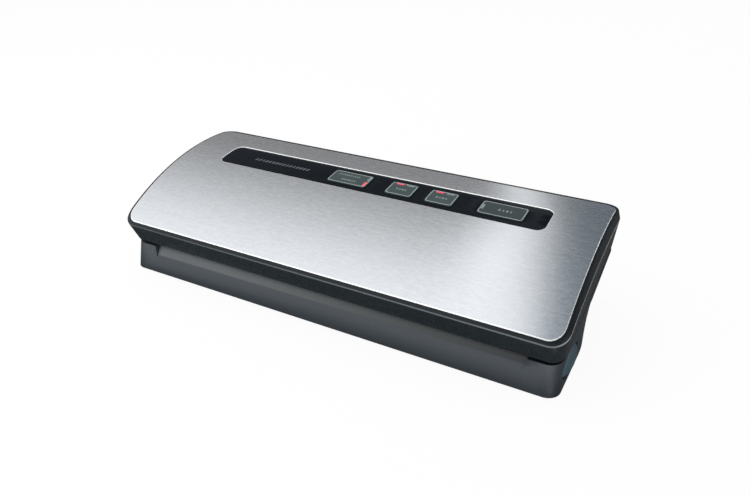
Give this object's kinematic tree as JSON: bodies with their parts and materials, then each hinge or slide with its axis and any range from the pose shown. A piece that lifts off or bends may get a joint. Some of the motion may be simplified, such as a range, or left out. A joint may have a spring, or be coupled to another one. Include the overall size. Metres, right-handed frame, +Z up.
{
  "type": "vacuum sealer",
  "caption": "Countertop vacuum sealer with a curved steel-faced lid hinged at the rear, a key strip, a sealing bar and a pump in a wedge-shaped base.",
  "frame": {"origin": "on the table, under the middle of the object's box", "axes": "+X to the user's right along the sealer, +Y to the rear hinge, +Z up"},
  "size_m": [0.382, 0.149, 0.0836],
  "materials": {
    "lid_plastic": "black ABS, moulded, polished rim",
    "steel_sheet": "stainless sheet, brushed along its length",
    "strip_film": "black polycarbonate strip, gloss",
    "key_plastic": "grey-green translucent key caps with pale outlines",
    "light_window": "red and grey light windows",
    "body_plastic": "dark grey ABS, fine moulded texture",
    "button_plastic": "teal-grey ABS, satin",
    "frame_plastic": "dark grey ABS inner cover",
    "acetal": "white acetal, moulded",
    "black_rubber": "black rubber",
    "grey_foam": "grey closed-cell gasket foam",
    "silicone": "red-brown silicone rubber",
    "hose_silicone": "milky silicone tube",
    "steel_zinc": "zinc-plated steel",
    "ribbon_alloy": "nickel-chrome ribbon",
    "ptfe_cloth": "brown PTFE-coated glass cloth",
    "phenolic": "brown phenolic",
    "circuit_board": "green glass-epoxy board",
    "core_steel": "laminated core steel",
    "coil_copper": "enamelled copper winding",
    "motor_steel": "drawn steel can",
    "pump_plastic": "black glass-filled nylon"
  },
  "bodies": {
    "base": {"base_housing": "body_plastic", "sealing_deck": "body_plastic", "base_plate": "body_plastic", "rubber_feet": "black_rubber", "base_screws": "steel_zinc", "lower_gasket": "grey_foam", "heater_bar": "phenolic", "heating_ribbon": "ribbon_alloy", "ptfe_tape": "ptfe_cloth", "suction_nozzle": "acetal", "vacuum_hose": "hose_silicone", "pump_motor": "motor_steel", "pump_housing": "pump_plastic", "wobble_plate": "acetal", "pump_diaphragm": "black_rubber", "pump_head": "pump_plastic", "pump_bracket": "black_rubber", "transformer_core": "core_steel", "transformer_coil": "coil_copper", "power_board": "circuit_board", "lid_switch": "pump_plastic", "hinge_pins": "steel_zinc", "cord_gland": "black_rubber", "release_spring_left": "steel_zinc", "release_spring_right": "steel_zinc"},
    "lid": {"lid_shell": "lid_plastic", "lid_frame": "frame_plastic", "steel_cover": "steel_sheet", "control_strip": "strip_film", "control_board": "circuit_board", "key_switches": "pump_plastic", "board_screws": "steel_zinc", "lid_screws": "steel_zinc", "upper_gasket": "grey_foam", "pressure_strip": "silicone"},
    "vacuum_key_set": {"vacuum_key": "key_plastic", "vacuum_lights": "light_window"},
    "food_key_set": {"food_key": "key_plastic", "food_lights": "light_window"},
    "pump_key_set": {"pump_key": "key_plastic", "pump_lights": "light_window"},
    "seal_key_set": {"seal_key": "key_plastic", "seal_lights": "light_window"},
    "release_left": {"release_button_left": "button_plastic", "release_slide_left": "acetal"},
    "release_right": {"release_button_right": "button_plastic", "release_slide_right": "acetal"},
    "eccentric": {"pump_eccentric": "steel_zinc"}
  },
  "joints": [
    {"name": "lid_hinge", "type": "hinge", "parent": "base", "child": "lid", "pos_m": [0, 0.06923, 0.05298], "axis": [-1, 0, 0], "range_deg": [0, 80]},
    {"name": "vacuum_press", "type": "slide", "parent": "lid", "child": "vacuum_key_set", "axis": [0, 0.1035, -0.9946], "range_m": [0, 0.0008], "stiffness_N_per_m": 400, "springref_m": -0.001},
    {"name": "food_press", "type": "slide", "parent": "lid", "child": "food_key_set", "axis": [0, 0.1035, -0.9946], "range_m": [0, 0.0008], "stiffness_N_per_m": 400, "springref_m": -0.001},
    {"name": "pump_press", "type": "slide", "parent": "lid", "child": "pump_key_set", "axis": [0, 0.1035, -0.9946], "range_m": [0, 0.0008], "stiffness_N_per_m": 400, "springref_m": -0.001},
    {"name": "seal_press", "type": "slide", "parent": "lid", "child": "seal_key_set", "axis": [0, 0.1035, -0.9946], "range_m": [0, 0.0008], "stiffness_N_per_m": 400, "springref_m": -0.001},
    {"name": "release_left_press", "type": "slide", "parent": "base", "child": "release_left", "axis": [1, 0, 0], "range_m": [0, 0.003], "stiffness_N_per_m": 600, "springref_m": -0.002, "deforming": ["release_spring_left"]},
    {"name": "release_right_press", "type": "slide", "parent": "base", "child": "release_right", "axis": [-1, 0, 0], "range_m": [0, 0.003], "stiffness_N_per_m": 600, "springref_m": -0.002, "deforming": ["release_spring_right"]},
    {"name": "pump_spin", "type": "hinge", "parent": "base", "child": "eccentric", "pos_m": [-0.02, 0.038, 0.0225], "axis": [1, 0, 0], "continuous": true}
  ]
}
